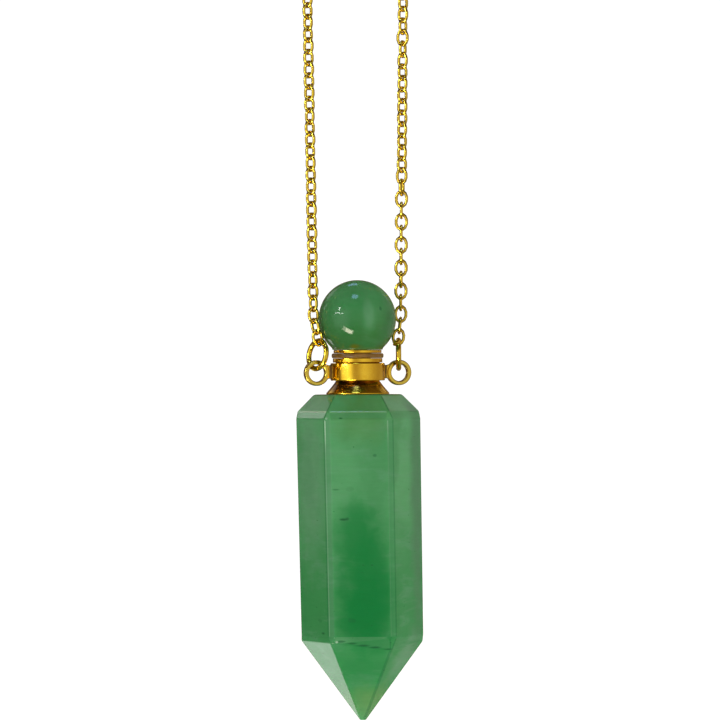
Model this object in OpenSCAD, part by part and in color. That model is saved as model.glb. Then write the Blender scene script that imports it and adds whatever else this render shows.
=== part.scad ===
// Bottle pendant on a cable chain, hanging. Millimetres, +Z up, X across the two strands.
// The origin is the point where the necklace rests on what holds it up, under the clasp.

/* [Stone bottle] */
// Width of the stone across its corners under the shoulder, before its edges are bevelled
stone_w = 16.05; // [14:0.05:18.5]
// Width of the stone across its corners above the point, before its edges are bevelled
stone_low_w = 15.75; // [14:0.05:18.5]
// Width of the flat top across its corners
stone_top_w = 11.1; // [10:0.1:13]
// Height of the sloping shoulder
shoulder_h = 2.5; // [1:0.1:5]
// Height of the six upright faces
upright_h = 28; // [18:0.1:45]
// Height of the point, up to where its faces would meet
point_h = 10.8; // [6:0.1:16]
// Height that is missing from the worn tip
tip_loss = 0.6; // [0.1:0.1:1.2]
// Width of the polished bevel along the edges of the upright faces
bevel_w = 0.95; // [0.3:0.05:1.2]
// Width of the fine bevel along the other edges
fine_bevel_w = 0.25; // [0.1:0.05:0.6]
// Turn of the stone's faces about the bore, seen from above
stone_turn = -20; // [-30:1:30]
// Lean of the stone away from the line of its bore
stone_lean = 0.75; // [0:0.05:1.5]
// Distance that the tip stands aside from the middle line of the upright faces
tip_aside = 0.14; // [0:0.02:0.4]
// Slant of the line where the point begins, from one end of the front face to the other
base_slant = 1.1; // [0:0.05:1.4]
// Diameter of the bore
bore_d = 5; // [4.7:0.1:6]
// Depth of the bore
bore_depth = 15; // [8:0.5:22]

/* [Neck fitting] */
// Inside diameter of the neck, where the plug screws in
thread_d = 4; // [3.6:0.05:4.3]
// Depth of the sleeve in the stone
sleeve_depth = 3; // [2:0.1:6]
// Diameter of the skirt's rim on the stone
skirt_d = 7.9; // [6.6:0.1:9]
// Height of the skirt's rim
rim_h = 0.15; // [0.1:0.05:0.4]
// Height of the skirt
skirt_h = 1.62; // [1:0.01:2.5]
// Outside diameter of the neck under the band
neck_d = 5.5; // [5:0.1:6.4]
// Diameter of the lip
lip_d = 6.2; // [6:0.1:7]
// Height of the lip
lip_h = 0.52; // [0.3:0.02:1]
// Chamfer on the lip's and the band's edges
edge_c = 0.08; // [0.04:0.01:0.15]

/* [Band with loops] */
// Outside diameter of the band
band_d = 6.8; // [6.6:0.1:8]
// Height of the band
band_h = 2.2; // [1.9:0.05:3]
// Length of the lug between the band and a loop
lug_l = 0.47; // [0.4:0.01:1.2]
// Height of a lug
lug_h = 1.9; // [1.2:0.05:1.95]
// Thickness of a lug
lug_t = 0.6; // [0.4:0.05:0.8]
// Outside diameter of a loop
loop_d = 3.2; // [2.8:0.05:3.6]
// Thickness of a loop between its hole and its outside
loop_wall = 0.52; // [0.4:0.02:0.66]
// Thickness of a loop from front to back
loop_t = 0.84; // [0.6:0.02:0.88]
// Chamfer on a loop's edges
loop_c = 0.14; // [0.1:0.02:0.18]
// Distance of the loops' centres under the middle of the band
loop_drop = 0.12; // [0:0.01:0.2]

/* [Stopper] */
// Outside diameter of the seal
seal_d = 6.5; // [5.8:0.1:7]
// Thickness of the seal
seal_h = 0.6; // [0.3:0.05:1]
// Diameter of the plug's flange
flange_d = 6; // [5:0.1:6.8]
// Thickness of the plug's flange
flange_h = 0.4; // [0.3:0.05:0.8]
// Length of the screw shank under the flange
shank_l = 3.2; // [2:0.1:5]
// Diameter of the post in the ball
post_d = 2.4; // [1.6:0.1:3]
// Length of the post
post_l = 4; // [2:0.1:5]
// Diameter of the ball
ball_d = 9.68; // [8.6:0.02:11]
// Diameter of the foot that the ball stands on
foot_d = 6.3; // [5.4:0.1:6.8]
// Height of the foot under the round of the ball
foot_h = 0.2; // [0.1:0.05:0.8]

/* [Jump rings] */
// Outside diameter of a jump ring
ring_d = 4.2; // [4.1:0.05:5]
// Thickness of a jump ring's wire
ring_wire = 0.66; // [0.5:0.02:0.66]
// Angle of the split between a ring's ends
ring_split = 3; // [1:0.5:8]
// Place of the split, as an angle from the ring's top towards the front
split_at = 48; // [0:1:90]
// Turn of the left ring about the vertical
left_turn = 17; // [-20:1:20]
// Turn of the right ring about the vertical
right_turn = -20; // [-20:1:20]
// Lean of the left ring towards the bottle
left_lean = 10; // [0:1:12]

/* [Chain] */
// Outside diameter of a strand
chain_d = 1.6; // [1:0.1:1.7]
// Drop from the middle of the chain at its top to the middle of the band
chain_drop = 225; // [180:1:320]
// Bend of a strand beside the clasp, to its middle line
bend_r = 5; // [3:0.5:6]

/* [Clasp] */
// Height of the clasp, which hangs on edge
clasp_h = 4.8; // [4.2:0.1:6]
// Thickness of the clasp
clasp_t = 1.6; // [1:0.1:1.8]
// Diameter of the clasp's eye, outside
eye_d = 2.1; // [1.8:0.1:2.6]
// Diameter of the hole in the clasp's eye
eye_hole = 1.1; // [0.8:0.1:1.2]
// Diameter of the clasp's opening
mouth_d = 2.5; // [2.2:0.1:2.6]
// Outside diameter of the ring that the clasp holds
clasp_ring_d = 4.7; // [4.6:0.1:5.4]
// Thickness of that ring's wire
clasp_ring_wire = 0.7; // [0.5:0.05:0.8]

/* [Clearances] */
// Gap between faces that rest on one another
seat_gap = 0.02; // [0.01:0.01:0.05]
// Gap round what is glued or pressed in
press_gap = 0.05; // [0.02:0.01:0.08]
// Gap round the screw
screw_gap = 0.05; // [0.03:0.01:0.1]
// Gap between the band and the metal above and below it
groove_gap = 0.07; // [0.03:0.01:0.15]
// Gap between a jump ring and the loop that it hangs in
hook_gap = 0.23; // [0.2:0.01:0.3]
// Gap between a strand's end and the ring or eye that it is linked to
link_gap = 0.12; // [0.08:0.01:0.2]
// Gap between a strand and the ball
strand_gap = 0.2; // [0.15:0.05:0.6]

/* [Hidden] */
$fn = 96;
stone_green = "seagreen";
gold = "goldenrod";
seal_brown = "rosybrown";

// Heights above the stone's flat top
skirt_top = seat_gap + skirt_h;
band_low = skirt_top + groove_gap;
band_top = band_low + band_h;
lip_low = band_top + groove_gap;
lip_top = lip_low + lip_h;
seal_low = lip_top + seat_gap;
flange_low = seal_low + seal_h + seat_gap;
flange_top = flange_low + flange_h;
foot_low = flange_top + seat_gap;
// The ball's round starts where it is as wide as its foot
ball_z = foot_low + foot_h + sqrt(pow(ball_d / 2, 2) - pow(foot_d / 2, 2));
band_z = (band_low + band_top) / 2;
loop_z = band_z - loop_drop;

// The stone's corners, seen from the side: distance from its middle line, and height
corners = [
    [stone_top_w / 2, 0],
    [stone_w / 2, -shoulder_h],
    [stone_low_w / 2, -shoulder_h - upright_h],
    [0, -shoulder_h - upright_h - point_h]];
stone_h = shoulder_h + upright_h + point_h - tip_loss;
face_share = cos(30);
// Widths of the bevels above each row of faces, and of those between the faces of a row
level_bevels = [fine_bevel_w, bevel_w, bevel_w];
ridge_bevels = [fine_bevel_w, bevel_w, fine_bevel_w];
// A bevel takes at most this share of a face's width
bevel_share = 0.8;
// How far each corner of the line where the point begins lies below its even place, measured along
// the point's faces: the stone is cut by hand
corner_slips = [0, 0, 0, -0.18 * base_slant, -0.32 * base_slant, 0.68 * base_slant];
spare = 1;

// Places in the necklace
strand_top_z = clasp_h / 2;
stone_z = strand_top_z - chain_drop - band_z;
loop_x = band_d / 2 + lug_l + loop_d / 2;
loop_r = (loop_d - loop_wall) / 2;
// The bottle swings about the middle of its loops' metal, at their top
swing_z = loop_r;
ring_r = (ring_d - ring_wire) / 2;
ring_hang = ring_r - loop_wall / 2 - ring_wire / 2 - hook_gap;
ring_top = swing_z + ring_hang + ring_d / 2 - loop_drop;
beside_ball = ball_d / 2 + chain_d / 2 + strand_gap;

// The right strand's chosen points: half the spread of the strands beyond what they have beside
// the ball, and height above the band's middle. The last is where the bend beside the clasp begins.
strand_rows = [
    [-0.05, ring_top + link_gap],
    [0, ball_z - band_z],
    [0.57, 47],
    [3.8, chain_drop - bend_r]];
strand_step = 6.6;
strand_sides = 8;
bend_steps = 5;
// A short level stretch ends the strand at the clasp
strand_end = 0.4;

clasp_ring_r = (clasp_ring_d - clasp_ring_wire) / 2;
strand_close_x = beside_ball + strand_rows[3][0] - bend_r - strand_end;
clasp_ring_x = strand_close_x - link_gap - clasp_ring_d / 2;
// The ring's wire passes through the middle of the clasp's mouth
mouth_x = clasp_ring_x - clasp_ring_r;
eye_x = -strand_close_x + link_gap + eye_d / 2;

// A row of faces as a line in the side view, and the angle of its outward normal above the level
function face_line(i) = [(corners[i + 1][0] - corners[i][0]) * face_share, corners[i + 1][1] - corners[i][1]];
function face_pitch(i) = i < 0 ? 90 : atan2(face_line(i)[0], -face_line(i)[1]);
// How far the bevel above a row of faces reaches down those faces and back over the ones before
function bevel_reach(i) = level_bevels[i] / 2 / cos((face_pitch(i - 1) - face_pitch(i)) / 2);
// The place on a row's corner line that lies a distance down its faces
function down_faces(i, distance) = corners[i] + (corners[i + 1] - corners[i]) * distance / norm(face_line(i));
// Where a row of faces begins at one of the stone's six corners, and where it ends
function row_start(i, k) = down_faces(i, bevel_reach(i) + (i == 2 ? corner_slips[k] : 0));
function row_end(i) =
    i < 2 ? down_faces(i, norm(face_line(i)) - bevel_reach(i + 1))
        : down_faces(i, norm(face_line(i)) * (1 - tip_loss / point_h));
// The stone's rings from the top down, each with six corners: distance from the middle line to the
// sharp corner, height, and width of the cut corner. A row of faces or a bevel lies between two rings.
rings = concat(
    [[for (k = [0:5]) [corners[0][0] - bevel_reach(0) / face_share, 0, ridge_bevels[0]]]],
    [for (i = [0:2])
        for (places = [[for (k = [0:5]) row_start(i, k)], [for (k = [0:5]) row_end(i)]])
            [for (place = places) [place[0], place[1], min(ridge_bevels[i], place[0] * bevel_share)]]]);
// Half of a ring's cross-section, with chamfers on its outer edges
function ring_section(inner, outer, low, high, c) = [
    [inner, low], [outer - c, low], [outer, low + c], [outer, high - c], [outer - c, high], [inner, high]];

function toward(angle) = [cos(angle), sin(angle)];
// How far the stone's lean and its tip move it aside at a height
function moved_aside(height) =
    -height * tan(stone_lean) + min(0, height - corners[2][1]) * tip_aside / point_h;
// A ring's twelve points, seen from above
function ring_points(ring) = [
    for (k = [0:5])
        for (side = [-120, 120])
            let (
                corner = ring[k],
                p = corner[0] * toward(60 * k) + corner[2] / (2 * face_share) * toward(60 * k + side))
            [p[0] + moved_aside(corner[1]), p[1], corner[1]]];

module cut_stone() {
    last = len(rings) - 1;
    points = [for (ring = rings) each ring_points(ring)];
    // A face whose lower edge slants is two flat triangles, folded outwards
    polyhedron(
        points,
        concat(
            [[for (k = [11:-1:0]) k], [for (k = [0:11]) last * 12 + k]],
            [for (i = [0:last - 1])
                for (k = [0:11])
                    let (
                        a = i * 12 + k,
                        b = i * 12 + (k + 1) % 12,
                        fall = points[a + 12][2] - points[b + 12][2])
                    each (
                        abs(fall) < 0.001 ? [[a, b, b + 12, a + 12]]
                        : fall > 0 ? [[a, b, a + 12], [b, b + 12, a + 12]]
                        : [[a, b, b + 12], [a, b + 12, a + 12]])]));
}

module crystal_bottle() {
    color(stone_green)
        translate([0, 0, stone_z])
            difference() {
                rotate([0, 0, stone_turn]) cut_stone();
                translate([0, 0, -bore_depth])
                    cylinder(d = bore_d, h = bore_depth + spare);
            }
}

module neck_fitting() {
    thread_r = thread_d / 2;
    sleeve_r = bore_d / 2 - press_gap;
    color(gold)
        translate([0, 0, stone_z])
            rotate_extrude()
                polygon([
                    [thread_r, -sleeve_depth],
                    [sleeve_r, -sleeve_depth],
                    [sleeve_r, seat_gap],
                    [skirt_d / 2, seat_gap],
                    [skirt_d / 2, seat_gap + rim_h],
                    [neck_d / 2, skirt_top],
                    [neck_d / 2, lip_low],
                    [lip_d / 2 - edge_c, lip_low],
                    [lip_d / 2, lip_low + edge_c],
                    [lip_d / 2, lip_top - edge_c],
                    [lip_d / 2 - edge_c, lip_top],
                    [thread_r, lip_top]]);
}

module side_loop() {
    hole_r = loop_r - loop_wall / 2;
    out_r = loop_d / 2;
    front = loop_t / 2;
    translate([loop_x, 0, -loop_drop])
        rotate([90, 0, 0])
            rotate_extrude()
                polygon([
                    [hole_r, -front + loop_c], [hole_r + loop_c, -front],
                    [out_r - loop_c, -front], [out_r, -front + loop_c],
                    [out_r, front - loop_c], [out_r - loop_c, front],
                    [hole_r + loop_c, front], [hole_r, front - loop_c]]);
    // The lug starts inside the band's wall and ends inside the loop's
    lug_start = band_d / 2 - edge_c;
    lug_end = loop_x - hole_r - edge_c;
    translate([lug_start, -lug_t / 2, -lug_h / 2])
        cube([lug_end - lug_start, lug_t, lug_h]);
}

module loop_band() {
    color(gold)
        translate([0, 0, stone_z + band_z])
            union() {
                rotate_extrude()
                    polygon(ring_section(neck_d / 2 + press_gap, band_d / 2, -band_h / 2, band_h / 2, edge_c));
                side_loop();
                mirror([1, 0, 0]) side_loop();
            }
}

module seal_ring() {
    color(seal_brown)
        translate([0, 0, stone_z + seal_low])
            rotate_extrude()
                polygon(ring_section(thread_d / 2 + press_gap, seal_d / 2, 0, seal_h, seal_h / 4));
}

module stopper_plug() {
    color(gold)
        translate([0, 0, stone_z + flange_low])
            union() {
                translate([0, 0, -shank_l])
                    cylinder(d = thread_d - 2 * screw_gap, h = shank_l);
                cylinder(d = flange_d, h = flange_h);
                translate([0, 0, flange_h])
                    cylinder(d = post_d, h = post_l);
            }
}

module stopper_ball() {
    color(stone_green)
        translate([0, 0, stone_z])
            difference() {
                union() {
                    intersection() {
                        translate([0, 0, ball_z]) sphere(d = ball_d);
                        translate([-ball_d, -ball_d, foot_low + foot_h]) cube(2 * ball_d);
                    }
                    translate([0, 0, foot_low]) cylinder(d = foot_d, h = foot_h);
                }
                translate([0, 0, foot_low - spare])
                    cylinder(d = post_d + 2 * press_gap, h = spare + post_l);
            }
}

// A split ring hanging in a loop, its plane across the loop's and its split towards the front
module jump_ring(side, turn, lean) {
    color(gold)
        translate([side * loop_x, 0, stone_z + loop_z + swing_z])
            rotate([0, lean, 0])
                rotate([0, 0, turn])
                    translate([0, 0, ring_hang])
                        rotate([split_at, 0, 0])
                            rotate([0, -90, 0])
                                rotate([0, 0, ring_split / 2])
                                    rotate_extrude(angle = 360 - ring_split)
                                        translate([ring_r, 0])
                                            circle(d = ring_wire);
}

module jump_ring_left() jump_ring(-1, left_turn, left_lean);

module jump_ring_right() jump_ring(1, right_turn, 0);

// The right strand's middle line, from its jump ring to the clasp: X and Z
function strand_line() =
    let (
        rows = [for (row = strand_rows) [beside_ball + row[0], strand_top_z - chain_drop + row[1]]],
        bend_centre = [rows[3][0] - bend_r, rows[3][1]])
    concat(
        [for (i = [0:2])
            let (count = ceil(norm(rows[i + 1] - rows[i]) / strand_step))
            for (j = [0:count - 1]) rows[i] + (rows[i + 1] - rows[i]) * j / count],
        [for (j = [0:bend_steps])
            bend_centre + bend_r * [cos(90 * j / bend_steps), sin(90 * j / bend_steps)]],
        [[strand_close_x, strand_top_z]]);

module strand() {
    line = strand_line();
    last = len(line) - 1;
    points = [for (i = [0:last])
        let (
            ahead = line[min(i + 1, last)] - line[max(i - 1, 0)],
            along = ahead / norm(ahead),
            across = [-along[1], along[0]])
        for (k = [0:strand_sides - 1])
            let (
                out = chain_d / 2 * cos(360 * k / strand_sides),
                deep = chain_d / 2 * sin(360 * k / strand_sides),
                p = line[i] + out * across)
            [p[0], deep, p[1]]];
    sides = [for (i = [0:last - 1])
        for (k = [0:strand_sides - 1])
            let (a = i * strand_sides + k, b = i * strand_sides + (k + 1) % strand_sides)
            [a, b, b + strand_sides, a + strand_sides]];
    first_end = [for (k = [strand_sides - 1:-1:0]) k];
    last_end = [for (k = [0:strand_sides - 1]) last * strand_sides + k];
    polyhedron(points, concat(sides, [first_end, last_end]));
}

module chain_left() {
    color(gold) mirror([1, 0, 0]) strand();
}

module chain_right() {
    color(gold) strand();
}

module clasp() {
    color(gold)
        translate([0, 0, strand_top_z])
            rotate([90, 0, 0])
                translate([0, 0, -clasp_t / 2])
                    difference() {
                        linear_extrude(clasp_t)
                            hull() {
                                translate([mouth_x, 0]) circle(d = clasp_h);
                                translate([eye_x, 0]) circle(d = eye_d);
                            }
                        translate([mouth_x, 0, -spare]) cylinder(d = mouth_d, h = clasp_t + 2 * spare);
                        translate([eye_x, 0, -spare]) cylinder(d = eye_hole, h = clasp_t + 2 * spare);
                    }
}

module clasp_ring() {
    color(gold)
        translate([clasp_ring_x, 0, strand_top_z])
            rotate_extrude()
                translate([clasp_ring_r, 0])
                    circle(d = clasp_ring_wire);
}

crystal_bottle();
neck_fitting();
loop_band();
seal_ring();
stopper_plug();
stopper_ball();
jump_ring_left();
jump_ring_right();
chain_left();
chain_right();
clasp();
clasp_ring();
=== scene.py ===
from math import atan, atan2, cos, degrees, pi, radians, sin, sqrt
from random import Random

import bmesh
import bpy
from mathutils import Matrix, Quaternion, Vector


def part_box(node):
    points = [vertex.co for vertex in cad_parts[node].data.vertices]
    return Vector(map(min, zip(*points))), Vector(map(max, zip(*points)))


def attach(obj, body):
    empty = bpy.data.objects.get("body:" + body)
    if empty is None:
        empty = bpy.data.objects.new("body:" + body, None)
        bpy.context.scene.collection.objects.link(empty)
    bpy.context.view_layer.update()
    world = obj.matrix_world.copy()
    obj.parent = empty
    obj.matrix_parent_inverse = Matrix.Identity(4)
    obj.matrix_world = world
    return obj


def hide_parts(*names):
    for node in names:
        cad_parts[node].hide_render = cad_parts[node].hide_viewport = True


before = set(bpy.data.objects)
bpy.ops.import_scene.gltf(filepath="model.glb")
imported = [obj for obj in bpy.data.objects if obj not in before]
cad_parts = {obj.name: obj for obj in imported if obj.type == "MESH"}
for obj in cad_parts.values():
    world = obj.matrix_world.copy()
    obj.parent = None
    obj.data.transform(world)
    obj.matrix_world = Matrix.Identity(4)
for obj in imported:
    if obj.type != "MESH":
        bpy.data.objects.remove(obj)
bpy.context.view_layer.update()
mm = 0.001
print("frame loaded")

# The camera looks at the bottle's front from the left loop's side, as the photograph does
camera = {
    "azimuth": -20,             # degrees, towards the left loop
    "roll": 0.35,               # degrees, the picture turned to the left
    "distance": 500,            # mm
    "lens": 200,                # mm on the sensor below
    "sensor": 36,               # mm wide
    "aimHeight": -221.13,       # mm, the picture's middle
    "aimAside": 0.30,           # mm to the right of the neck's middle line
}
turn = Matrix.Rotation(radians(camera["azimuth"]), 4, "Z")
rightward = turn @ Vector((1, 0, 0))
away = turn @ Vector((0, 1, 0))
cameraData = bpy.data.cameras.new("camera")
cameraData.lens = camera["lens"]
cameraData.sensor_width = camera["sensor"]
cameraData.clip_start = 0.01    # metres
cameraObject = bpy.data.objects.new("camera", cameraData)
bpy.context.collection.objects.link(cameraObject)
aim = Vector((0, 0, camera["aimHeight"])) + rightward * camera["aimAside"]
upright = turn @ Matrix.Rotation(radians(90), 4, "X")
cameraObject.matrix_world = (
    Matrix.Translation((aim - away * camera["distance"]) * mm)
    @ upright @ Matrix.Rotation(radians(-camera["roll"]), 4, "Z"))
bpy.context.scene.camera = cameraObject
print("camera placed")


# node and mesh helpers
def addNode(tree, kind, inputs=None, **settings):
    node = tree.nodes.new(kind)
    for key, value in settings.items():
        setattr(node, key, value)
    for key, value in (inputs or {}).items():
        if isinstance(value, bpy.types.NodeSocket):
            tree.links.new(value, node.inputs[key])
        else:
            node.inputs[key].default_value = value
    return node


def startMaterial(name, shaderValues):
    material = bpy.data.materials.new(name)
    material.use_nodes = True
    tree = material.node_tree
    shader = tree.nodes["Principled BSDF"]
    for key, value in shaderValues.items():
        shader.inputs[key].default_value = value
    place = addNode(tree, "ShaderNodeTexCoord").outputs["Object"]
    inMillimetres = addNode(tree, "ShaderNodeVectorMath", {0: place, "Scale": 1 / mm}, operation="SCALE")
    return material, tree, shader, inMillimetres.outputs[0]


def stretched(tree, place, scale, location=(0, 0, 0)):
    return addNode(tree, "ShaderNodeMapping", {
        "Vector": place, "Scale": scale, "Location": location}).outputs[0]


def noise(tree, place, scale, detail=4, roughness=0.55, distortion=0.0):
    return addNode(tree, "ShaderNodeTexNoise", {
        "Vector": place, "Scale": scale, "Detail": detail, "Roughness": roughness,
        "Distortion": distortion}).outputs["Fac"]


def ramped(tree, value, low, high, toLow=0.0, toHigh=1.0):
    return addNode(tree, "ShaderNodeMapRange", {
        "Value": value, "From Min": low, "From Max": high, "To Min": toLow, "To Max": toHigh},
        interpolation_type="SMOOTHSTEP").outputs[0]


def mixed(tree, share, first, second):
    return addNode(tree, "ShaderNodeMix", {0: share, 6: first, 7: second}, data_type="RGBA").outputs[2]


def computed(tree, first, second, operation="MULTIPLY"):
    return addNode(tree, "ShaderNodeMath", {0: first, 1: second}, operation=operation).outputs[0]


def addBump(tree, shader, height, strength, distance):
    bump = addNode(tree, "ShaderNodeBump", {"Height": height, "Strength": strength, "Distance": distance})
    tree.links.new(bump.outputs[0], shader.inputs["Normal"])


weldUnder = 0.0005              # mm, points closer than this become one
sliverUnder = 0.0002            # mm, edges shorter than this go


def tidyMesh(bm):
    bmesh.ops.remove_doubles(bm, verts=bm.verts, dist=weldUnder)
    bmesh.ops.dissolve_degenerate(bm, dist=sliverUnder, edges=bm.edges)
    bmesh.ops.recalc_face_normals(bm, faces=bm.faces)


# Meshes are worked in millimetres and made metres here
def makePiece(name, bm, material, body, slotName, *replaced, sharpAngle=32):
    bmesh.ops.scale(bm, vec=(mm, mm, mm), verts=bm.verts)
    mesh = bpy.data.meshes.new(name)
    bm.to_mesh(mesh)
    bm.free()
    mesh.shade_smooth()
    mesh.set_sharp_from_angle(angle=radians(sharpAngle))
    mesh.materials.append(material)
    piece = bpy.data.objects.new(name, mesh)
    bpy.context.collection.objects.link(piece)
    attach(piece, body)
    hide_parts(*replaced)
    print(name, "made,", len(mesh.polygons), "faces")
    return piece


# A profile of radius and height turned about the Z axis
def turnProfile(bm, profile, closed, steps=96):
    verts = [bm.verts.new((radius, 0, height)) for radius, height in profile]
    pairs = list(zip(verts, verts[1:])) + ([(verts[-1], verts[0])] if closed else [])
    edges = [bm.edges.new(pair) for pair in pairs]
    bmesh.ops.spin(bm, geom=verts + edges, cent=(0, 0, 0), axis=(0, 0, 1), dvec=(0, 0, 0),
                   angle=2 * pi, steps=steps, use_merge=True)
    tidyMesh(bm)


def softenEdges(bm, width, angle=25, segments=3, chosen=None):
    edges = [e for e in bm.edges if len(e.link_faces) == 2 and e.calc_face_angle(0) > radians(angle)
             and (not chosen or chosen(e))]
    bmesh.ops.bevel(bm, geom=edges, offset=width, offset_type="OFFSET", segments=segments, profile=0.5,
                    affect="EDGES", clamp_overlap=True, material=-1)


# A wire ring in the XY plane; one that is less than whole gets its two ends capped
def spinWire(bm, ringRadius, wireRadius, steps, sides, startAngle=0.0, angle=2 * pi):
    section = (Matrix.Rotation(startAngle, 4, "Z") @ Matrix.Translation((ringRadius, 0, 0))
               @ Matrix.Rotation(pi / 2, 4, "X"))
    circle = bmesh.ops.create_circle(
        bm, cap_ends=False, segments=sides, radius=wireRadius, matrix=section)["verts"]
    edges = list(dict.fromkeys(e for v in circle for e in v.link_edges))
    whole = angle > 2 * pi - 0.001
    bmesh.ops.spin(bm, geom=circle + edges, cent=(0, 0, 0), axis=(0, 0, 1), dvec=(0, 0, 0),
                   angle=angle, steps=steps, use_merge=whole)
    if not whole:
        bmesh.ops.holes_fill(bm, edges=[e for e in bm.edges if e.is_boundary], sides=0)
    tidyMesh(bm)


# A finished shell goes into a piece's mesh at its place
def joinShell(bm, shell, place):
    bmesh.ops.transform(shell, matrix=place, verts=shell.verts)
    holder = bpy.data.meshes.new("shell")
    shell.to_mesh(holder)
    shell.free()
    bm.from_mesh(holder)
    bpy.data.meshes.remove(holder)


# Each station is the matrix that places a circle of radius 1 in its own XY plane
def sweepCircle(bm, stations, sides):
    ring = bmesh.ops.create_circle(
        bm, cap_ends=False, segments=sides, radius=1.0, matrix=stations[0])["verts"]
    edges = list(dict.fromkeys(e for v in ring for e in v.link_edges))
    ends = list(edges)
    for before, after in zip(stations, stations[1:]):
        grown = bmesh.ops.extrude_edge_only(bm, edges=edges)["geom"]
        ring = [g for g in grown if isinstance(g, bmesh.types.BMVert)]
        edges = [g for g in grown if isinstance(g, bmesh.types.BMEdge)
                 and g.verts[0] in ring and g.verts[1] in ring]
        bmesh.ops.transform(bm, matrix=after @ before.inverted(), verts=ring)
    bmesh.ops.holes_fill(bm, edges=ends + edges, sides=0)


# materials
stone = {
    "milky": (0.085, 0.300, 0.118, 1),
    "middle": (0.062, 0.252, 0.092, 1),
    "deep": (0.001, 0.175, 0.034, 1),
    "grey": (0.110, 0.290, 0.150, 1),
    "pearl": (0.170, 0.300, 0.200, 1),
    "fleck": (0.008, 0.085, 0.030, 1),
    "paintedWarmLight": (0.075, 0.195, 0.042, 1),
    "shade": (0.062, 0.182, 0.086, 1),
    "paintedSideShade": (0.038, 0.140, 0.048, 1),
    "olive": (0.140, 0.280, 0.085, 1),
    "paintedGoldReflection": (0.105, 0.088, 0.003, 1),
    "paintedPaleReflection": (0.135, 0.125, 0.002, 1),
    # painted highlight colour, for the pale lines along the bevels and the glints
    "paintedGleam": (0.45, 0.62, 0.45, 1),
    "bevelShade": 0.2,          # how far the bevels turn to shade
    "bevelClear": 0.45,         # how much of the patches shows through the bevels
    "line": 0.35,               # how much darker the fine lines beside the bevels are
    "gleaming": (0.13, 0.8),    # strength of the painted highlight lines, low and high on the stone
    "patchFade": (1.15, 0.25),  # in half widths, where a patch begins to show and where it is full
    "raggedPatch": 0.12, "raggedFleck": 0.4, "raggedSpark": 0.3,    # how uneven their edges are
    # fine flecks, by size: the cells' scale, the share of them left empty, flatness, darkness
    "fineFlecks": [(0.9, 0.88, 2.2, 0.55), (0.33, 0.85, 1.7, 0.25)],
    "fleckReach": 0.34,         # share of a cell
    "gloss": (0.045, 0.13),     # roughness, least and most
    "waviness": 0.06, "waveDepth": 0.0004,      # strength, and metres
}


# How far inside a soft patch a place is; a patch is a centre, half widths and a strength, and
# the noise makes its edge ragged
def patch(tree, place, edgeNoise, spot, ragged=0.2):
    centre, reach, strength = spot
    near = addNode(tree, "ShaderNodeVectorMath", {0: place, 1: centre}, operation="SUBTRACT").outputs[0]
    near = addNode(tree, "ShaderNodeVectorMath", {0: near, 1: reach}, operation="DIVIDE").outputs[0]
    far = addNode(tree, "ShaderNodeVectorMath", {0: near}, operation="LENGTH").outputs["Value"]
    uneven = computed(tree, far, ramped(tree, edgeNoise, 0.25, 0.75, ragged, -ragged), "ADD")
    return ramped(tree, uneven, *stone["patchFade"], 0.0, strength)


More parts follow.
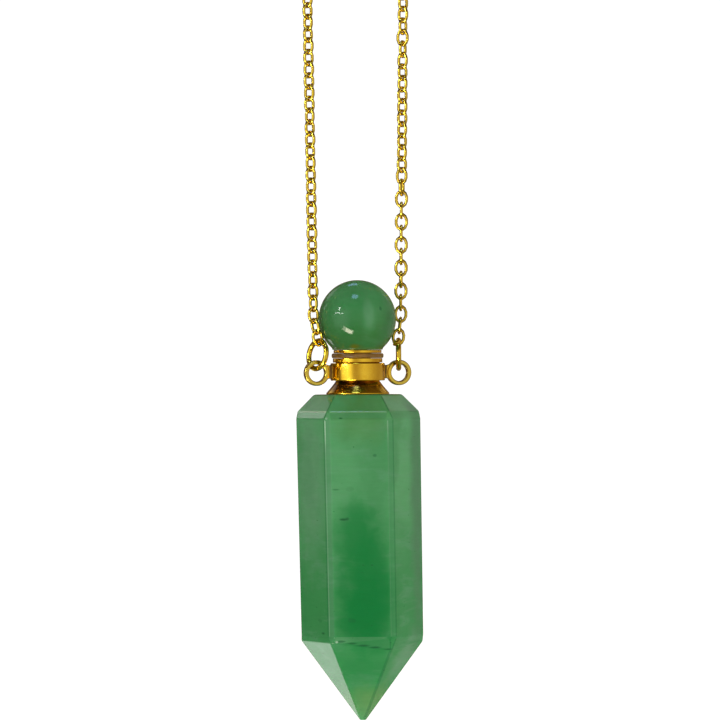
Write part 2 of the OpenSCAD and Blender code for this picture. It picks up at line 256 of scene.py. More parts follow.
# Cut marks the bevels and lines on a mesh; one without it reads as plain
def makeStone(name, look):
    material, tree, shader, place = startMaterial(name, {
        "IOR": 1.54, "Specular IOR Level": 0.22,
        "Subsurface Weight": 0.4, "Subsurface Radius": (0.35, 1.0, 0.5), "Subsurface Scale": 0.0018,
        "Subsurface Anisotropy": 0.3})
    seed = look["seed"]
    shifted = stretched(tree, place, (1, 1, 1), (seed, seed * 0.7, seed * 1.3))
    cloud = noise(tree, shifted, 0.17, 5, 0.55, 0.5)
    wisps = noise(tree, stretched(tree, shifted, (0.4, 0.4, 1.3)), 0.5, 6, 0.6, 0.4)
    layers = noise(tree, stretched(tree, shifted, (0.5, 0.5, 4.0)), 0.9, 5, 0.65, 0.3)
    clumps = noise(tree, shifted, 0.55, 3, 0.5, 0.3)
    colour = mixed(tree, ramped(tree, cloud, 0.36, 0.66), stone["middle"], stone["milky"])
    high, low, share, lowColour = look["gradient"]
    height = addNode(tree, "ShaderNodeSeparateXYZ", {0: place}).outputs[2]
    colour = mixed(tree, ramped(tree, height, high, low, 0.0, share), colour, lowColour)
    greying = computed(tree, ramped(tree, wisps, 0.48, 0.70), look["wisps"])
    colour = mixed(tree, greying, colour, stone["grey"])

    # The bevels scatter light, so what lies deep in the stone shows less through them
    marks = addNode(tree, "ShaderNodeAttribute", attribute_name="cut").outputs["Color"]
    bevels, lines, paintedGleamLines = addNode(tree, "ShaderNodeSeparateColor", {0: marks}).outputs
    clear = ramped(tree, bevels, 0.0, 1.0, 1.0, stone["bevelClear"])
    for kind in ("pearl", "milky", "olive", "deep", "paintedWarmLight", "shade", "paintedSideShade", "paintedGoldReflection", "paintedPaleReflection"):
        for spot in look.get(kind, ()):
            inside = patch(tree, place, clumps, spot, stone["raggedPatch"])
            colour = mixed(tree, computed(tree, inside, clear), colour, stone[kind])
    colour = mixed(tree, computed(tree, bevels, stone["bevelShade"]), colour, stone["shade"])
    colour = mixed(tree, computed(tree, lines, stone["line"]), colour, stone["fleck"])
    # painted highlights along some bevel edges, stronger higher up
    gleaming = ramped(tree, height, *look["gleamHeights"], *stone["gleaming"])
    colour = mixed(tree, computed(tree, paintedGleamLines, gleaming), colour, stone["paintedGleam"])

    # Flat flecks lie along the layers: fine ones all over, and a few large ones
    for scale, empty, flatness, darkness in stone["fineFlecks"]:
        cells = addNode(tree, "ShaderNodeTexVoronoi", {
            "Vector": stretched(tree, shifted, (1, 1, flatness)), "Scale": scale, "Randomness": 1.0})
        reach = computed(tree, noise(tree, shifted, 2.2 * scale, 3), stone["fleckReach"])
        dark = ramped(tree, computed(tree, cells.outputs["Distance"], reach, "SUBTRACT"), 0.0, -0.06)
        chosen = addNode(tree, "ShaderNodeSeparateColor", {0: cells.outputs["Color"]}).outputs[0]
        dark = computed(tree, dark, ramped(tree, chosen, empty, empty + 0.1))
        colour = mixed(tree, computed(tree, dark, darkness), colour, stone["fleck"])
    for spot in look["flecks"]:
        inside = patch(tree, place, wisps, spot, stone["raggedFleck"])
        colour = mixed(tree, inside, colour, stone["fleck"])
    # painted glints
    for spot in look.get("paintedGlints", ()):
        inside = patch(tree, place, clumps, spot, stone["raggedSpark"])
        colour = mixed(tree, inside, colour, stone["paintedGleam"])
    tone = look.get("tone", 1.0)
    grain = ramped(tree, layers, 0.30, 0.75, tone - look["grain"], tone + look["grain"])
    grained = addNode(tree, "ShaderNodeVectorMath", {0: colour, "Scale": grain}, operation="SCALE")
    tree.links.new(grained.outputs[0], shader.inputs["Base Color"])

    smears = noise(tree, stretched(tree, shifted, (1, 1, 0.4)), 0.8, 5, 0.6)
    tree.links.new(ramped(tree, smears, 0.35, 0.75, *stone["gloss"]), shader.inputs["Roughness"])
    waves = noise(tree, shifted, 0.35, 2, 0.4)
    addBump(tree, shader, waves, stone["waviness"], stone["waveDepth"])
    return material


gold = {
    "bright": (0.92, 0.59, 0.045, 1),
    "worn": (0.82, 0.46, 0.022, 1),
    "loop": (0.70, 0.52, 0.072, 1),
    "loopFrom": (4.0, 4.4),     # mm from the middle line, where the band's tone turns to the loops'
    "wire": (0.80, 0.60, 0.052, 1),
    "link": (0.86, 0.64, 0.078, 1),
    "linkWorn": (0.74, 0.50, 0.040, 1),
    "paintedRecessShade": (0.10, 0.042, 0.018, 1),     # painted shade, under the band and beside the lugs
    "gloss": (0.09, 0.24),      # roughness, least and most
    "turning": (0.02, 0.02, 26),    # how the fine lines that turning leaves are stretched
    "turningDepth": 0.35,
    "grainDepth": 0.00002,      # metres
}


def makeGold(name, grain, grainStrength, wear=0.5, corners=(), tones=("bright", "worn"), withLoops=False):
    material, tree, shader, place = startMaterial(name, {"Metallic": 1.0, "IOR": 1.45})
    tone = noise(tree, place, 0.9, 5, 0.6, 0.3)
    worn = computed(tree, ramped(tree, tone, 0.42, 0.7), wear)
    colour = mixed(tree, worn, gold[tones[0]], gold[tones[1]])
    if withLoops:
        sideways = addNode(tree, "ShaderNodeSeparateXYZ", {0: place}).outputs[0]
        aside = computed(tree, sideways, 0.0, "ABSOLUTE")
        colour = mixed(tree, ramped(tree, aside, *gold["loopFrom"]), colour, gold["loop"])
    # painted shade, in the corners under the band and beside the lugs
    for spot in corners:
        colour = mixed(tree, patch(tree, place, tone, spot), colour, gold["paintedRecessShade"])
    tree.links.new(colour, shader.inputs["Base Color"])
    scuffs = noise(tree, stretched(tree, place, (1, 1, 3)), 5.0, 4, 0.7)
    tree.links.new(ramped(tree, scuffs, 0.35, 0.75, *gold["gloss"]), shader.inputs["Roughness"])
    lines = noise(tree, stretched(tree, place, grain), 1.0, 3, 0.6)
    addBump(tree, shader, lines, grainStrength, gold["grainDepth"])
    return material


aventurine = makeStone("aventurineBottle", {
    # heights in mm between which its colour turns, how far it turns, and to what
    "gradient": (-236.0, -250.0, 0.8, (0.030, 0.225, 0.062, 1)),
    "grain": 0.03, "wisps": 0.35,
    "deep": [
        ((-2.6, -6.4, -242.6), (3.4, 2.6, 5.5), 0.8), ((-0.84, -7.07, -246.5), (2.6, 2.6, 6.5), 0.75),
        ((-1.6, -6.8, -252.0), (4.2, 3.4, 7.0), 1.0), ((-1.8, -6.8, -251.5), (2.8, 2.6, 4.0), 0.85),
        ((-3.5, -6.1, -253.6), (1.8, 1.8, 2.6), 0.7), ((-1.5, -4.5, -259.5), (4.0, 3.0, 3.0), 0.3),
        ((-4.0, -5.9, -248.5), (1.5, 1.5, 3.2), 0.5), ((0.6, -7.3, -250.5), (1.6, 1.6, 5.5), 0.6),
        ((3.0, 5.5, -243.0), (3.5, 3.0, 7.0), 0.6), ((-6.0, 3.5, -250.0), (2.5, 3.0, 5.0), 0.4),
    ],
    "milky": [
        ((-3.9, -5.95, -236.5), (3.0, 3.0, 5.0), 0.5), ((0.0, 0.0, -266.5), (3.6, 3.6, 5.0), 0.9),
        ((2.0, 6.0, -256.0), (4.0, 3.0, 5.0), 0.6),
    ],
    "pearl": [((5.0, -4.0, -259.5), (3.2, 3.2, 5.5), 0.5), ((-6.8, -1.2, -236.0), (2.5, 4.0, 13.0), 0.3)],
    "olive": [((0.5, -1.0, -262.5), (3.2, 3.2, 4.5), 0.6)],
    # painted warm light on the stone's top round the gold neck, and on the front just under it
    "paintedWarmLight": [((0.0, 0.0, -225.6), (6.2, 6.2, 2.8), 0.9), ((-1.8, -6.6, -228.0), (5.0, 3.0, 4.5), 0.4)],
    "shade": [((6.2, -3.7, -237.0), (2.0, 2.0, 24.0), 0.85)],
    "flecks": [
        ((-4.39, -5.78, -228.3), (0.42, 0.6, 0.19), 0.9), ((-2.9, -6.32, -231.85), (0.14, 0.5, 0.12), 0.7),
        ((-0.44, -7.21, -232.89), (0.28, 0.5, 0.22), 0.5), ((-4.17, -5.86, -240.8), (0.6, 0.5, 0.18), 0.85),
        ((-6.12, -3.50, -254.9), (0.6, 0.6, 0.22), 0.9), ((-4.38, -5.43, -255.84), (0.6, 0.9, 0.16), 0.6),
        ((-3.10, -5.89, -256.09), (0.8, 0.9, 0.16), 0.7), ((-1.71, -6.40, -256.35), (0.9, 0.9, 0.17), 0.8),
        ((-0.32, -6.91, -256.60), (0.9, 0.9, 0.17), 0.85), ((1.07, -7.41, -256.86), (0.8, 0.9, 0.17), 0.9),
        ((1.99, -7.75, -256.93), (0.4, 0.6, 0.14), 0.9), ((5.2, 4.9, -238.0), (0.45, 0.45, 0.16), 0.8),
        ((-4.96, -5.57, -237.1), (0.5, 0.5, 0.12), 0.45), ((-3.65, -6.05, -240.7), (0.26, 0.4, 0.22), 0.6),
        ((-1.5, 6.9, -247.0), (0.5, 0.6, 0.18), 0.8),
    ],
    # a painted glint low on the front
    "paintedGlints": [((-4.90, -5.24, -255.90), (0.20, 0.3, 0.18), 0.8)],
    "gleamHeights": (-233.0, -229.0),   # mm, between which the painted highlight lines grow stronger
    "seed": 3.0,
})
aventurineBall = makeStone("aventurineBall", {
    "gradient": (-212.5, -218.5, 0.85, (0.036, 0.147, 0.032, 1)),
    "grain": 0.012, "wisps": 0.12, "tone": 0.93, "gleamHeights": (-250.0, -249.0),
    "deep": [((-2.5, -3.5, -215.2), (3.2, 3.2, 3.6), 0.25)],
    # painted pale streak of light on the ball's front, right of its middle
    "milky": [((-0.1, -4.75, -215.6), (1.1, 1.4, 3.2), 0.4)],
    # painted shade on the ball's right side
    "paintedSideShade": [((3.6, -3.2, -217.0), (2.9, 2.9, 4.8), 0.8)],
    # the painted pale streak's brighter core
    "pearl": [((-0.2, -4.75, -215.2), (0.8, 1.2, 2.4), 0.35)],
    # painted reflections of the gold flange round the ball's foot, pale and gold
    "paintedPaleReflection": [((-1.5, -2.95, -219.4), (0.7, 0.7, 0.5), 0.8)],
    "paintedGoldReflection": [((0.0, 0.0, -220.5), (6.0, 6.0, 1.3), 1.0)],
    # painted warm light from the gold flange
    "paintedWarmLight": [((0.0, 0.0, -220.2), (4.2, 4.2, 1.9), 0.6)],
    "flecks": [
        ((1.44, -4.45, -214.74), (0.24, 0.3, 0.34), 0.6), ((-3.4, 2.6, -217.6), (0.3, 0.3, 0.15), 0.8),
    ],
    "seed": 11.0,
})
turnedGold = makeGold("turnedGold", gold["turning"], gold["turningDepth"])
# painted shade on the skirt under the band
neckGold = makeGold("neckGold", gold["turning"], gold["turningDepth"], corners=[
    ((-3.2, -2.2, -224.2), (6, 6, 1.15), 0.95)])
# painted shade on the band beside its lugs
bandGold = makeGold("bandGold", gold["turning"], gold["turningDepth"], corners=[
    ((side * 3.62, 0, -222.6), (0.38, 1.2, 1.8), 0.95) for side in (-1, 1)], withLoops=True)
wireGold = makeGold("wireGold", grain=(4, 4, 4), grainStrength=0.08, tones=("wire", "worn"))
linkGold = makeGold("linkGold", grain=(3, 3, 3), grainStrength=0.2, wear=0.9, tones=("link", "linkWorn"))

# the seal's soft silicone
cloudy = {
    "dark": (0.14, 0.070, 0.009, 1),
    "pale": (0.21, 0.112, 0.020, 1),
    "roughness": 0.32,
    "waviness": 0.15, "waveDepth": 0.00004,     # strength, and metres
}


def makeSilicone():
    material, tree, shader, place = startMaterial("cloudySilicone", {
        "Roughness": cloudy["roughness"], "IOR": 1.42, "Subsurface Weight": 0.6,
        "Subsurface Radius": (1.0, 0.7, 0.4), "Subsurface Scale": 0.0012})
    cloud = noise(tree, place, 0.8, 4, 0.5)
    colour = mixed(tree, ramped(tree, cloud, 0.35, 0.7), cloudy["dark"], cloudy["pale"])
    tree.links.new(colour, shader.inputs["Base Color"])
    addBump(tree, shader, noise(tree, place, 6.0, 3), cloudy["waviness"], cloudy["waveDepth"])
    return material


silicone = makeSilicone()
print("materials made")

# the stone bottle, from its CAD solid with the edges softened
stoneBottle = {
    "softening": 0.15,          # mm
    "tipSoftening": 0.16,
    "tipReach": 0.01,           # mm over the lowest point, where an edge still belongs to the tip
    "boreReach": 2.7,           # mm from the middle line, inside which nothing is softened
    "boreDepth": 30,            # mm under the top, below which there is no bore
    "faceOver": 1.3, "bevelOver": 0.5, "lineUnder": 0.18,   # mm, how wide faces, bevels and lines are
    "stripOver": 15,            # square mm, which every upright bevel's area is over
    "steepOver": 0.6,           # share of its length that an upright face's longest edge climbs
    "firstCorner": -20,         # degrees round the stone
    "gleams": {4: 1.0, 5: 0.3},     # corners, counted from the first, with a painted highlight line, and its strength
    # painted highlight level lines: lowest and highest place in mm, degrees from the first corner, strength
    "levelGleams": [(-228.1, -226.5, 185, 235, 0.8), (-228.1, -226.5, 245, 295, 0.2),
                    (-255.9, -254.3, 245, 295, 0.7)],
    "gleamWidth": 0.13,         # mm
    "levelLine": 0.22,          # how strong the level fine lines are, against the upright ones
}
low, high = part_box("crystal_bottle")
stoneTop, stoneTip = high.z / mm, low.z / mm
bm = bmesh.new()
bm.from_mesh(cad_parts["crystal_bottle"].data)
bmesh.ops.scale(bm, vec=(1 / mm,) * 3, verts=bm.verts)
bmesh.ops.remove_doubles(bm, verts=bm.verts, dist=weldUnder)
bmesh.ops.dissolve_limit(bm, angle_limit=radians(0.6), verts=bm.verts, edges=bm.edges)
bmesh.ops.recalc_face_normals(bm, faces=bm.faces)


def atTip(edge):
    return min(v.co.z for v in edge.verts) < stoneTip + stoneBottle["tipReach"]


def outside(edge):
    middle = (edge.verts[0].co + edge.verts[1].co) / 2
    underBore = middle.z < stoneTop - stoneBottle["boreDepth"]
    return not atTip(edge) and (underBore or middle.xy.length > stoneBottle["boreReach"])


softenEdges(bm, stoneBottle["softening"], angle=6, segments=3, chosen=outside)
softenEdges(bm, stoneBottle["tipSoftening"], angle=20, segments=4, chosen=atTip)


def breadth(face):
    return face.calc_area() / max(e.calc_length() for e in face.edges)


def isBevel(face):
    return stoneBottle["bevelOver"] < breadth(face) < stoneBottle["faceOver"]


def isUpright(face):
    longest = max(face.edges, key=lambda e: e.calc_length())
    climb = abs(longest.verts[0].co.z - longest.verts[1].co.z)
    return climb > longest.calc_length() * stoneBottle["steepOver"]


def fromFirst(face):            # degrees round the stone from its first corner
    spot = face.calc_center_median()
    return degrees(atan2(spot.y, spot.x)) - stoneBottle["firstCorner"]


def fromCorner(face):           # the nearest corner's number, and degrees from it
    angle = fromFirst(face)
    corner = round(angle / 60)
    return corner % 6, angle - corner * 60


strips = [f for f in bm.faces if isBevel(f) and isUpright(f) and f.calc_area() > stoneBottle["stripOver"]
          and fromCorner(f)[0] in stoneBottle["gleams"]]
bmesh.ops.inset_individual(bm, faces=strips, thickness=stoneBottle["gleamWidth"], use_even_offset=True)
bordering = {f for strip in strips for e in strip.edges for f in e.link_faces}
cut = bm.loops.layers.float_color.new("cut")    # red on the bevels, green on dark lines, blue on painted highlight lines
for face in bm.faces:
    onBevel = 1.0 if face in bordering or isBevel(face) else 0.0
    onLine = paintedGleam = 0.0
    corner, aside = fromCorner(face)
    # the thin border beside each chosen strip carries a painted highlight line
    if face in bordering:
        if isUpright(face) and aside < 0 and face not in strips:
            paintedGleam = stoneBottle["gleams"][corner]
    elif breadth(face) < stoneBottle["lineUnder"] and isUpright(face):
        onLine = 1.0 if (aside < 0) == (corner % 2 == 0) else 0.0
    elif breadth(face) < stoneBottle["lineUnder"]:
        onLine = stoneBottle["levelLine"]
        height, angle = face.calc_center_median().z, fromFirst(face) % 360
        for lowest, highest, first, last, strength in stoneBottle["levelGleams"]:
            if lowest < height < highest and first < angle < last:
                onLine, paintedGleam = 0.0, strength
    for loop in face.loops:
        loop[cut] = (onBevel, onLine, paintedGleam, 1)
piece = makePiece("stoneBottle", bm, aventurine, "bottle", "aventurine", "crystal_bottle", sharpAngle=60)
weighted = piece.modifiers.new("weightedNormals", "WEIGHTED_NORMAL")
weighted.keep_sharp = True
weighted.weight = 100

# heights above the stone's flat top, in mm
level = {
    "seat": 0.02, "rim": 0.17, "skirtTop": 1.64, "bandLow": 1.71, "bandTop": 3.91,
    "lipLow": 3.98, "lipTop": 4.50, "sealLow": 4.52, "sealTop": 5.12,
    "flangeLow": 5.14, "flangeTop": 5.54, "ballFoot": 5.56,
}


def placeUpright(bm):
    bmesh.ops.translate(bm, vec=(0, 0, stoneTop), verts=bm.verts)


# the neck: flared skirt, waist for the band, lip and the sleeve in the stone
neck = {
    "bore": 2.0, "sleeve": 2.45, "sleeveDepth": 3.0, "skirt": 3.95, "waist": 2.75, "lip": 3.1,
    "hollow": 0.04,             # mm, how far the skirt's flare dips under a straight cone
    "flareSteps": 8, "softening": 0.055,
}
flare = []
for i in range(1, neck["flareSteps"]):
    share = i / neck["flareSteps"]
    radius = neck["skirt"] + (neck["waist"] - neck["skirt"]) * share - neck["hollow"] * sin(pi * share)
    flare.append((radius, level["rim"] + (level["skirtTop"] - level["rim"]) * share))
bm = bmesh.new()
turnProfile(bm, [
    (neck["bore"], -neck["sleeveDepth"]), (neck["sleeve"], -neck["sleeveDepth"]),
    (neck["sleeve"], level["seat"]), (neck["skirt"], level["seat"]), (neck["skirt"], level["rim"]),
    *flare, (neck["waist"], level["skirtTop"]), (neck["waist"], level["lipLow"]),
    (neck["lip"], level["lipLow"]), (neck["lip"], level["lipTop"]), (neck["bore"], level["lipTop"])], True)
softenEdges(bm, neck["softening"])
placeUpright(bm)
makePiece("neckFitting", bm, neckGold, "bottle", "gold_plate", "neck_fitting")

# the band, with a lug and a loop soldered on at each side
band = {
    "inside": 2.8, "outside": 3.4, "softening": 0.11,
    "lugStart": 3.28, "lugEnd": 4.31, "lugHeight": 1.86, "lugThickness": 0.58,
    "lugRound": 0.12,           # mm, on its long edges
    "lugWaist": 0.10,           # share taken off its middle
    "loopX": 5.47, "loopHole": 1.08, "loopOutside": 1.60, "loopThickness": 0.84,
    "loopRound": 0.15,          # mm
    "loopDrop": 0.12,           # mm, how far the loops' centres lie under the band's middle
}


def makeLug():
    lug = bmesh.new()
    bmesh.ops.create_cube(lug, size=1.0)
    length = band["lugEnd"] - band["lugStart"]
    bmesh.ops.scale(lug, vec=(length, band["lugThickness"], band["lugHeight"]), verts=lug.verts)

    def lengthwise():
        return [e for e in lug.edges if abs(e.verts[0].co.x - e.verts[1].co.x) > length / 2]

    bmesh.ops.bevel(lug, geom=lengthwise(), offset=band["lugRound"], offset_type="OFFSET", segments=4,
                    profile=0.5, affect="EDGES", clamp_overlap=True, material=-1)
    bmesh.ops.subdivide_edges(lug, edges=lengthwise(), cuts=9, use_grid_fill=True)
    for vert in lug.verts:      # drawn in between the band and the loop, as solder leaves it
        drawn = 1 - band["lugWaist"] * cos(pi * min(abs(vert.co.x) / length * 2, 1) / 2) ** 2
        vert.co.y *= drawn
        vert.co.z *= drawn
    return lug


bandMiddle = (level["bandLow"] + level["bandTop"]) / 2
bm = bmesh.new()
turnProfile(bm, [
    (band["inside"], level["bandLow"]), (band["outside"], level["bandLow"]),
    (band["outside"], level["bandTop"]), (band["inside"], level["bandTop"])], True)
softenEdges(bm, band["softening"])
for halfTurn in (0, pi):
    side = Matrix.Translation((0, 0, bandMiddle)) @ Matrix.Rotation(halfTurn, 4, "Z")
    joinShell(bm, makeLug(), side @ Matrix.Translation(((band["lugStart"] + band["lugEnd"]) / 2, 0, 0)))
    loop = bmesh.new()
    half = band["loopThickness"] / 2
    turnProfile(loop, [(band["loopHole"], -half), (band["loopOutside"], -half),
                       (band["loopOutside"], half), (band["loopHole"], half)], True, steps=80)
    softenEdges(loop, band["loopRound"], angle=40, segments=5)
    joinShell(bm, loop, side @ Matrix.Translation((band["loopX"], 0, -band["loopDrop"]))
              @ Matrix.Rotation(pi / 2, 4, "X"))
placeUpright(bm)
bmesh.ops.recalc_face_normals(bm, faces=bm.faces)
makePiece("loopBand", bm, bandGold, "bottle", "gold_plate", "loop_band")

# the seal
seal = {"inside": 2.05, "outside": 3.25, "softening": 0.2}
bm = bmesh.new()
turnProfile(bm, [
    (seal["inside"], level["sealLow"]), (seal["outside"], level["sealLow"]),
    (seal["outside"], level["sealTop"]), (seal["inside"], level["sealTop"])], True)
softenEdges(bm, seal["softening"], segments=4)
placeUpright(bm)
makePiece("sealRing", bm, silicone, "seal", "silicone", "seal_ring")

# the plug: flange, post in the ball, and a shank with a real screw thread
plug = {
    "flange": 3.0, "softening": 0.08, "post": 1.2, "postTop": 9.54,
    "core": 1.62, "shankLength": 3.2, "chamfer": 0.25,
    "crest": 1.94, "crestHalf": 0.05, "sunk": 0.05,     # mm, half the crest's width, and into the core
    "flank": 0.42,              # share of the pitch from the crest's middle to the thread's foot
    "pitch": 0.7, "threadTurns": 4.0, "threadSteps": 48,
}
shankEnd = level["flangeLow"] - plug["shankLength"]
threadLow = shankEnd + plug["chamfer"]
bm = bmesh.new()
turnProfile(bm, [
    (0, shankEnd), (plug["core"] - plug["chamfer"], shankEnd),
    (plug["core"], threadLow), (plug["core"], level["flangeLow"]),
    (plug["flange"], level["flangeLow"]), (plug["flange"], level["flangeTop"]),
    (plug["post"], level["flangeTop"]), (plug["post"], plug["postTop"]), (0, plug["postTop"])], False)
softenEdges(bm, plug["softening"], angle=40)
thread = bmesh.new()
half = plug["pitch"] * plug["flank"]
root = plug["core"] - plug["sunk"]
section = [thread.verts.new(spot) for spot in (
    (root, 0, threadLow - half), (plug["crest"], 0, threadLow - plug["crestHalf"]),
    (plug["crest"], 0, threadLow + plug["crestHalf"]), (root, 0, threadLow + half))]
ends = [thread.edges.new(pair) for pair in zip(section, section[1:] + section[:1])]
stepCount = int(plug["threadTurns"] * plug["threadSteps"])
bmesh.ops.spin(thread, geom=section + ends, cent=(0, 0, 0), axis=(0, 0, 1),
               dvec=(0, 0, plug["pitch"] / plug["threadSteps"]), angle=2 * pi * plug["threadTurns"],
               steps=stepCount, use_merge=False)
bmesh.ops.holes_fill(thread, edges=[e for e in thread.edges if e.is_boundary], sides=0)
tidyMesh(thread)
joinShell(bm, thread, Matrix())
placeUpright(bm)
makePiece("stopperPlug", bm, turnedGold, "stopper", "gold_plate", "stopper_plug")

# the ball, with the short foot that it stands on
ball = {
    "radius": 4.84, "foot": 3.15, "footHeight": 0.2,
    "footChamfer": (0.05, 0.03),
    "filletDown": 0.14, "filletUp": 0.38,   # mm, down the foot and round the ball
    "hole": 1.25, "holeTop": 9.56,
    "rings": 44, "filletSteps": 5,
}
footTop = level["ballFoot"] + ball["footHeight"]
ballMiddle = footTop + sqrt(ball["radius"] ** 2 - ball["foot"] ** 2)
lowest = -atan((ballMiddle - footTop) / ball["foot"])
profile = [(0, ball["holeTop"]), (ball["hole"], ball["holeTop"]), (ball["hole"], level["ballFoot"]),
           (ball["foot"] - ball["footChamfer"][0], level["ballFoot"]),
           (ball["foot"], level["ballFoot"] + ball["footChamfer"][1])]
filletStart = Vector((ball["foot"], footTop - ball["filletDown"]))
filletCorner = Vector((ball["foot"], footTop))
startAngle = lowest + ball["filletUp"] / ball["radius"]
filletEnd = Vector((ball["radius"] * cos(startAngle), ballMiddle + ball["radius"] * sin(startAngle)))
for i in range(ball["filletSteps"] + 1):
    share = i / ball["filletSteps"]
    spot = (filletStart.lerp(filletCorner, share)).lerp(filletCorner.lerp(filletEnd, share), share)
    profile.append((spot.x, spot.y))
for i in range(1, ball["rings"]):
    angle = startAngle + (pi / 2 - startAngle) * i / ball["rings"]
    profile.append((ball["radius"] * cos(angle), ballMiddle + ball["radius"] * sin(angle)))
profile.append((0, ballMiddle + ball["radius"]))
bm = bmesh.new()
turnProfile(bm, profile, False, steps=112)
placeUpright(bm)
makePiece("stopperBall", bm, aventurineBall, "stopper", "aventurine", "stopper_ball")

# the jump rings, cut from coiled wire: their ends don't quite meet
jumpRing = {
    "ring": 1.77, "wire": 0.33, "softening": 0.05,
    "split": 3, "splitAt": 48,  # degrees, how wide the split is and where it lies
    "sprungOver": 45,           # degrees of the ring that are bent aside at one end
    # degrees that each is turned and leans, and mm that its one end stands aside
    "left": {"turn": 17, "lean": 10, "sprung": 0.05},
    "right": {"turn": -20, "lean": 0, "sprung": 0.45},
}
for sideName in ("left", "right"):
    look = jumpRing[sideName]
    node = "jump_ring_" + sideName
    low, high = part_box(node)
    middle = (low + high) / 2 / mm
    bm = bmesh.new()
    spinWire(bm, jumpRing["ring"], jumpRing["wire"], steps=84, sides=18,
             startAngle=radians(jumpRing["split"] / 2), angle=radians(360 - jumpRing["split"]))
    softenEdges(bm, jumpRing["softening"], angle=60)
    for vert in bm.verts:       # one end stands aside
        angle = Vector((vert.co.x, vert.co.y)).angle_signed(Vector((1, 0)))
        share = max(0.0, 1 - angle / radians(jumpRing["sprungOver"])) if angle > 0 else 0.0
        vert.co.z += look["sprung"] * share * share
    place = (Matrix.Translation(middle) @ Matrix.Rotation(radians(look["lean"]), 4, "Y")
             @ Matrix.Rotation(radians(look["turn"]), 4, "Z")
             @ Matrix.Rotation(radians(jumpRing["splitAt"]), 4, "X") @ Matrix.Rotation(-pi / 2, 4, "Y"))
    bmesh.ops.transform(bm, matrix=place, verts=bm.verts)
    makePiece("jumpRing" + sideName.title(), bm, wireGold, "necklace", "gold_plate", node)

# the chain: two strands of interlocked oval links, each turned a quarter from the last
chain = {
    "length": 2.32, "width": 1.72, "wire": 0.42,    # mm, outside
    "linkSteps": 12, "wireSides": 5,
    "widest": (6.36, -175.6),   # mm aside and up, where the strands have leaned furthest apart
    "bend": 5.0, "bendMiddle": (4.59, -2.6), "bendSteps": 12,   # mm, beside the clasp
    "unrest": 4,                # degrees that a link may be turned out of line
    "seed": 5,
}
# The places on each strand are in mm. Twist gives, for some of the links' numbers, the degrees that
# the even links are turned from facing the camera; the others lie in between
strand = {
    "right": {
        "links": 156, "start": (5.47, 0.0, -218.26), "firstLean": (5.79, 0.0, -215.975),
        "last": (4.07, 0.0, 2.4),
        "twist": [(0, 0), (11.5, 0), (15, 45), (24, 43), (26, 22), (28, 43), (157, 70)],
    },
    "left": {
        "links": 155, "start": (-5.20, 0.20, -218.33), "firstLean": (-5.79, 0.03, -215.975),
        "last": (-4.07, 0.0, 2.4),
        "twist": [(0, -37), (5, -43), (9, -52), (12, -44), (24, -45), (60, -38), (157, -20)],
    },
}


def makeLink():
    link = bmesh.new()
    halfStep = pi / chain["linkSteps"]
    ringRadius = (chain["width"] - chain["wire"]) / 2 / cos(halfStep)
    spinWire(link, ringRadius, chain["wire"] / 2, chain["linkSteps"], chain["wireSides"], halfStep)
    longer = (chain["length"] - chain["width"]) / 2
    for vert in link.verts:     # from a round ring to an oval one, with its wire left round
        vert.co.y += longer * vert.co.y / vert.co.xy.length
    bmesh.ops.rotate(link, cent=(0, 0, 0), matrix=Matrix.Rotation(pi / 2, 3, "X"), verts=link.verts)
    mesh = bpy.data.meshes.new("link")
    link.to_mesh(mesh)
    link.free()
    return mesh


# Places at even steps along a route, and the length of a step
def evenly(points, count):
    reach = [0.0]
    for before, after in zip(points, points[1:]):
        reach.append(reach[-1] + (after - before).length)
    spots, k = [], 0
    for i in range(count):
        goal = reach[-1] * i / (count - 1)
        while k < len(points) - 2 and reach[k + 1] < goal:
            k += 1
        spots.append(points[k].lerp(points[k + 1], (goal - reach[k]) / (reach[k + 1] - reach[k])))
    return spots, reach[-1] / (count - 1)


# The value at a place, from rows of a place and its value
def between(rows, place):
    for (low, first), (high, second) in zip(rows, rows[1:]):
        if place <= high:
            return first + (second - first) * max(0.0, place - low) / (high - low)
    return rows[-1][1]


linkMesh = makeLink()
chance = Random(chain["seed"])
for sideName, side in (("left", -1), ("right", 1)):
    look = strand[sideName]
    bend = Vector((side * chain["bendMiddle"][0], 0, chain["bendMiddle"][1]))
    route = [Vector(look["start"]), Vector(look["firstLean"]),
             Vector((side * chain["widest"][0], 0, chain["widest"][1]))]
    for i in range(chain["bendSteps"] + 1):
        angle = pi / 2 * i / chain["bendSteps"]
        route.append(bend + chain["bend"] * Vector((side * cos(angle), 0, sin(angle))))
    route.append(Vector(look["last"]))
    spots, pitch = evenly(route, look["links"])
    print("chain", sideName, "pitch", round(pitch, 4), "mm")
    bm = bmesh.new()
    done = 0
    for i, spot in enumerate(spots):
        onward = (spots[min(i + 1, len(spots) - 1)] - spots[max(i - 1, 0)]).normalized()
        # Its turn about the strand is counted from the camera's right
        across = Vector((0, 1, 0)).cross(onward).normalized()
        roll = radians(-camera["azimuth"] + between(look["twist"], i) + 90 * (i % 2)
                       + chance.uniform(-1, 1) * chain["unrest"])
        width = Matrix.Rotation(-roll, 3, onward) @ across
        frameOfLink = Matrix((width, onward.cross(width), onward)).transposed().to_4x4()
        bm.from_mesh(linkMesh)
        bm.verts.ensure_lookup_table()
        bmesh.ops.transform(bm, matrix=Matrix.Translation(spot) @ frameOfLink, verts=bm.verts[done:])
        done = len(bm.verts)
    makePiece("chain" + sideName.title(), bm, linkGold, "necklace", "gold_plate", "chain_" + sideName,
              sharpAngle=80)

